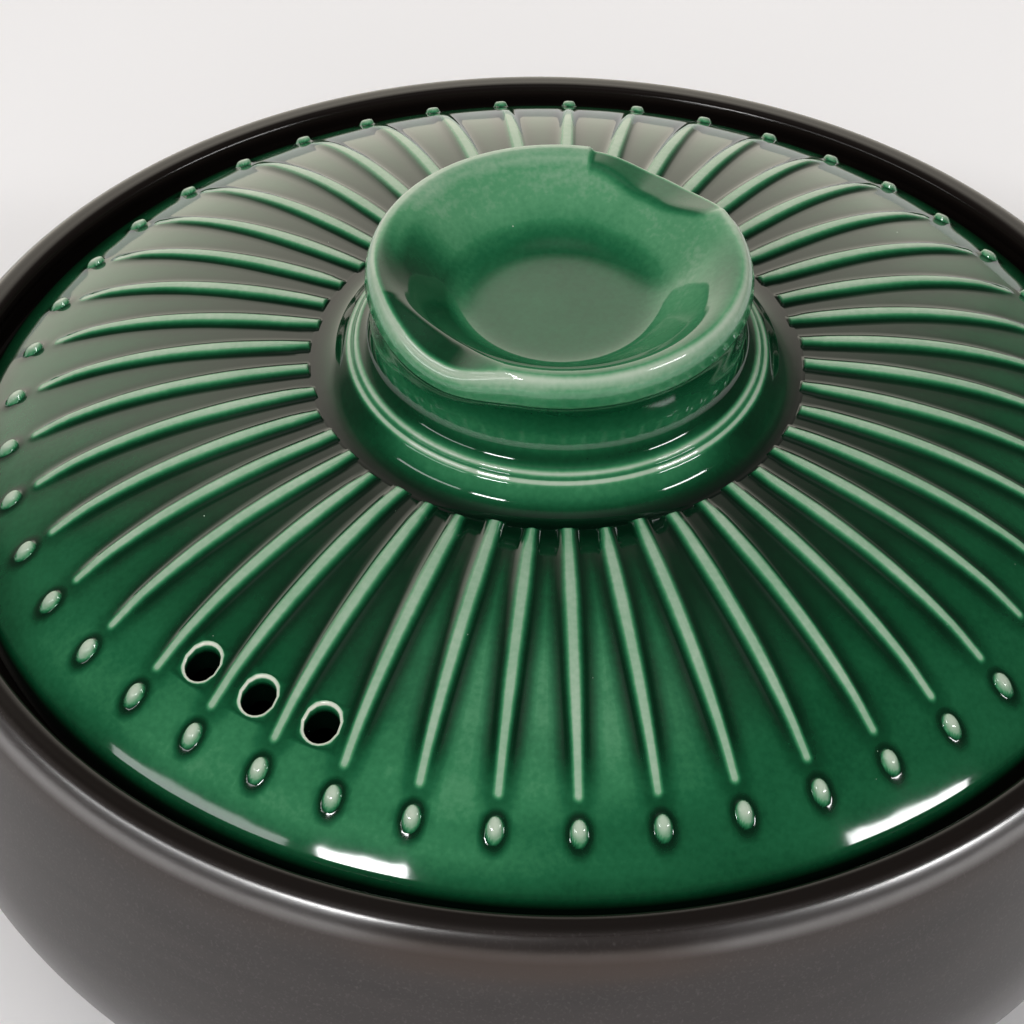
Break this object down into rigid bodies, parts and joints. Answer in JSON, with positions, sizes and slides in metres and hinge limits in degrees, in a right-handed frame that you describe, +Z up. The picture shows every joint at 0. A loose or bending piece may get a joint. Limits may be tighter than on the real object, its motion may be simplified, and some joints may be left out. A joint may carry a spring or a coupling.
{
  "type": "ceramic casserole pot",
  "caption": "Round flameproof ceramic casserole with lug handles, dark satin bowl, and lift-off domed green lid with radial ribs, beads, steam vents and a dished knob.",
  "frame": {"origin": "on the table under the pot's axis, in the plane of the foot ring", "axes": "+Z up along the pot's axis, +X towards the right-hand handle, -Y towards the viewer"},
  "size_m": [0.3038, 0.2558, 0.1434],
  "materials": {
    "iron_glaze": "satin",
    "green_glaze": "gloss"
  },
  "bodies": {
    "pot": {"pot_bowl": "iron_glaze", "handle_left": "iron_glaze", "handle_right": "iron_glaze"},
    "lid": {"lid_dome": "green_glaze", "lid_knob": "green_glaze"}
  },
  "joints": [
    {"name": "lid_lift", "type": "slide", "parent": "pot", "child": "lid", "axis": [0, 0, 1], "range_m": [0, 0.12]}
  ]
}
